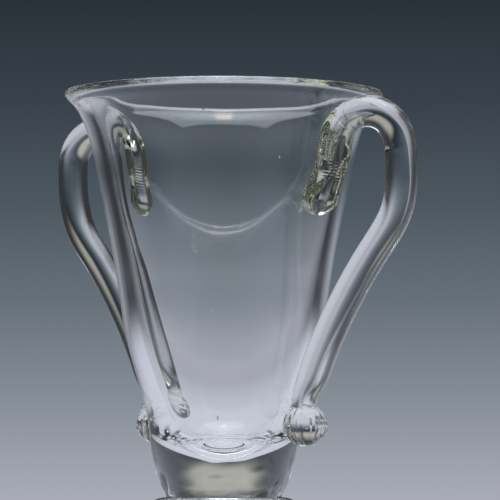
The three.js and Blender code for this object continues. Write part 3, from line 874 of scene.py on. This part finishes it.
class JELLY_OT_stage(bpy.types.Operator):
    """Make the pale floor, the backdrop, the lamps and the camera"""

    bl_idname = "jelly_glass.stage"
    bl_label = "Stage"

    def execute(self, context):
        settings = context.scene.jelly_stage
        self.make_floor(settings)
        self.make_backdrop(context)
        for name, light, *rest in LAMPS:
            self.make_lamp(name, getattr(settings, light), *rest)
        self.make_camera(context, settings)
        context.scene.view_settings.view_transform = "Standard"
        for kind in ("max", "transmission", "glossy", "transparent_max"):
            setattr(context.scene.cycles, kind + "_bounces", BOUNCES)
        return {"FINISHED"}

    def make_floor(self, settings):
        """A round floor round the glass's axis, seen only from above."""
        radius = np.linspace(0, settings.floor_radius, FLOOR_RINGS)[1:, None]
        rings = about_axis(radius, round_circle(FLOOR_AROUND), 0.0)
        points, quads, triangles = skin(rings, (0, 0, 0), (0, 0, 0))
        faces = [*quads[:, ::-1].tolist(), *triangles[:FLOOR_AROUND, ::-1].tolist()]
        make_mesh("floor", points[:-1], faces, [self.floor_material(settings)])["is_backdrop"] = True

    def fade(self, tree, value, stops):
        """A colour ramp over a value, through stops of a value and an sRGB hex colour each."""
        low, high = stops[0][0], stops[-1][0]
        spot = add_node(tree, "MapRange", {"From Min": low, "From Max": high}, {"Value": value})
        ramp = add_node(tree, "ValToRGB", links={"Fac": spot})
        elements = ramp.color_ramp.elements
        elements.remove(elements[1])
        for i, (at, code) in enumerate(stops):
            stop = elements[0] if i == 0 else elements.new((at - low) / (high - low))
            stop.color = (*linear(code), 1)
        return ramp

    def card(self, tree, colour, way, height):
        """The backdrop's colour with the pale card in front of it."""
        low, full_low, full_high, high = (math.sin(math.radians(degrees)) for degrees in CARD_ELEVATION)
        within = self.beyond(tree, way, camera_ways()[2], CARD_HALF_WIDTH[::-1], True)
        for start, end in ((low, full_low), (high, full_high)):
            part = add_node(tree, "MapRange", {"From Min": start, "From Max": end}, {"Value": height})
            within = add_node(tree, "Math", {"operation": "MULTIPLY"}, {0: within, 1: part})
        mix = {"data_type": "RGBA", 7: (*linear(CARD_COLOUR), 1)}
        return add_node(tree, "Mix", mix, {0: within, 6: colour}).outputs[2]

    def for_glass(self, tree, colour, where, edges):
        """The colour, and to glossy and transmission rays the dark room in front of the stage and painted
        shade to its sides, a dark colour for the unlit studio there, as well. Gives the new colour, 1 for
        those rays and 0 for others, and the node that tells rays apart."""
        path = add_node(tree, "LightPath")
        rays = {0: path.outputs["Is Glossy Ray"], 1: path.outputs["Is Transmission Ray"]}
        in_glass = add_node(tree, "Math", {"operation": "ADD", "use_clamp": True}, rays)
        _, forward, right = camera_ways()
        front = self.beyond(tree, where, forward, edges)
        side = self.beyond(tree, where, right, edges, True)
        # The room in front and the sides are painted shade: dark colours that only glossy and transmission
        # rays see
        for amount, code in ((front, ROOM_COLOUR), (side, UNLIT_SIDES_COLOUR)):
            shown = add_node(tree, "Math", {"operation": "MULTIPLY"}, {0: amount, 1: in_glass})
            mix = {"data_type": "RGBA", 7: (*linear(code), 1)}
            colour = add_node(tree, "Mix", mix, {0: shown, 6: colour}).outputs[2]
        return colour, in_glass, path

    def beyond(self, tree, place, way, edges, both_sides=False):
        """How far a place lies along a direction, as 0 at the first edge rising smoothly to 1 at the
        second, or falling from 1 to 0 where the first edge is the farther one."""
        along = {"operation": "DOT_PRODUCT", 1: way}
        along = add_node(tree, "VectorMath", along, {0: place}).outputs["Value"]
        if both_sides:
            along = add_node(tree, "Math", {"operation": "ABSOLUTE"}, {0: along})
        rise = {"interpolation_type": "SMOOTHSTEP", "From Min": edges[0], "From Max": edges[1]}
        return add_node(tree, "MapRange", rise, {"Value": along})

    def floor_material(self, settings):
        """Matt paper: near the glass it takes light and shadow, and further out it fades into the
        backdrop. The glass shows its plain colour all over."""
        material, tree = new_material("matt_floor_paper")
        where = add_node(tree, "TexCoord").outputs["Object"]
        out = add_node(tree, "VectorMath", {"operation": "LENGTH"}, {0: where}).outputs["Value"]
        colour = self.fade(tree, out, FLOOR_FADE)
        colour, in_glass, path = self.for_glass(tree, colour, where, ROOM_ON_FLOOR)
        glow = add_node(tree, "Emission", links={"Color": colour})
        paper = add_node(tree, "BsdfDiffuse", {"Color": (*linear(settings.floor_colour), 1)})
        far = {"interpolation_type": "SMOOTHSTEP", "From Min": PAPER_FADE[0], "From Max": PAPER_FADE[1]}
        far = {0: add_node(tree, "MapRange", far, {"Value": out}), 1: path.outputs["Is Camera Ray"]}
        plain = {0: in_glass, 1: add_node(tree, "Math", {"operation": "MULTIPLY"}, far)}
        plain = add_node(tree, "Math", {"operation": "ADD", "use_clamp": True}, plain)
        face = add_node(tree, "MixShader", links={0: plain, 1: paper, 2: glow})
        below = add_node(tree, "NewGeometry").outputs["Backfacing"]
        one_sided = {0: below, 1: face, 2: add_node(tree, "BsdfTransparent")}
        one_sided = add_node(tree, "MixShader", links=one_sided)
        add_node(tree, "OutputMaterial", links={"Surface": one_sided})
        return material

    def make_lamp(self, name, radiance, place, size, colour, full):
        """A glowing cloth that the camera doesn't see. Its light is full over a share of its middle and
        falls off smoothly to nothing at its edges. It adds to what shines through it from behind."""
        half = (size[0] / 2, size[1] / 2)
        corners = [(half[0] * x, half[1] * y, 0) for x, y in ((-1, -1), (1, -1), (1, 1), (-1, 1))]
        material, tree = new_material(name + "_cloth")
        where = add_node(tree, "TexCoord").outputs["Object"]
        across, deep = (
            self.beyond(tree, where, way, (reach, reach * full), True)
            for way, reach in (((1, 0, 0), half[0]), ((0, 1, 0), half[1]))
        )
        both = add_node(tree, "Math", {"operation": "MULTIPLY"}, {0: across, 1: deep})
        strength = add_node(tree, "Math", {"operation": "MULTIPLY", 1: radiance}, {0: both})
        cloth = add_node(tree, "Emission", {"Color": (*linear(colour), 1)}, {"Strength": strength})
        glowing = {0: cloth, 1: add_node(tree, "BsdfTransparent")}
        add_node(tree, "OutputMaterial", links={"Surface": add_node(tree, "AddShader", links=glowing)})
        lamp = make_mesh(name, corners, [(0, 1, 2, 3)], [material])
        ahead, height = place
        azimuth, forward, _ = camera_ways()
        lamp.location = (forward[0] * ahead, forward[1] * ahead, height)
        lamp.rotation_euler = (0, 0, azimuth)
        lamp.visible_camera = False
        lamp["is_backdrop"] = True

    def make_camera(self, context, settings):
        """The photograph's viewpoint: a long lens, a little above the table, tilted up."""
        camera = bpy.data.cameras.new("camera")
        camera.lens = settings.focal_length
        camera.sensor_width = 36
        camera.clip_start, camera.clip_end = 0.01, 20
        holder = place_in_scene("camera", camera)
        azimuth, forward, _ = camera_ways()
        away = settings.camera_distance
        holder.location = (forward[0] * away, forward[1] * away, settings.camera_height)
        pitch = math.radians(90 + settings.camera_pitch)
        holder.rotation_euler = (pitch, 0, azimuth - math.radians(settings.camera_yaw))
        context.scene.camera = holder

    def make_backdrop(self, context):
        """The far backdrop, as the world: its colour goes by the height of the direction, which is the
        sine of its elevation."""
        world = bpy.data.worlds.new("far_backdrop")
        world.use_nodes = True
        tree = world.node_tree
        tree.nodes.clear()
        way = add_node(tree, "TexCoord").outputs["Generated"]
        height = add_node(tree, "SeparateXYZ", links={0: way}).outputs["Z"]
        stops = [(math.sin(math.radians(degrees)), code) for degrees, code in BACKDROP_FADE]
        colour = self.card(tree, self.fade(tree, height, stops), way, height)
        colour, _, _ = self.for_glass(tree, colour, way, ROOM_FAR_AWAY)
        backdrop = add_node(tree, "Background", links={"Color": colour})
        add_node(tree, "OutputWorld", links={"Surface": backdrop})
        context.scene.world = world


class JELLY_PT_panel(bpy.types.Panel):
    """A button for each piece or pair of like pieces"""

    bl_idname = "JELLY_PT_panel"
    bl_label = "Jelly glass"
    bl_space_type = "VIEW_3D"
    bl_region_type = "UI"
    bl_category = "Jelly glass"

    def draw(self, context):
        for operator in OPERATORS:
            self.layout.operator(operator.bl_idname)


SETTINGS = {
    "jelly_bowl": BowlSizes,
    "jelly_handles": HandleSizes,
    "jelly_foot": FootSizes,
    "jelly_finish": GlassFinish,
    "jelly_stage": StageSettings,
}
OPERATORS = (JELLY_OT_bowl, JELLY_OT_handle, JELLY_OT_foot, JELLY_OT_stage)
CLASSES = (*SETTINGS.values(), *OPERATORS, JELLY_PT_panel)


def register():
    for cls in CLASSES:
        bpy.utils.register_class(cls)
    for name, group in SETTINGS.items():
        setattr(bpy.types.Scene, name, PointerProperty(type=group))


def unregister():
    for name in SETTINGS:
        delattr(bpy.types.Scene, name)
    for cls in reversed(CLASSES):
        bpy.utils.unregister_class(cls)


def main():
    """Makes the glass and its stage."""
    register()
    bpy.ops.jelly_glass.stage()
    bpy.ops.jelly_glass.bowl()
    bpy.ops.jelly_glass.foot()
    for side in HANDLES:
        bpy.ops.jelly_glass.handle(side=side)
    boxes = {"cad": CAD_BOX, "visual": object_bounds()}
    {name: [list(corner) for corner in box] for name, box in boxes.items()}


if __name__ == "__main__":
    main()
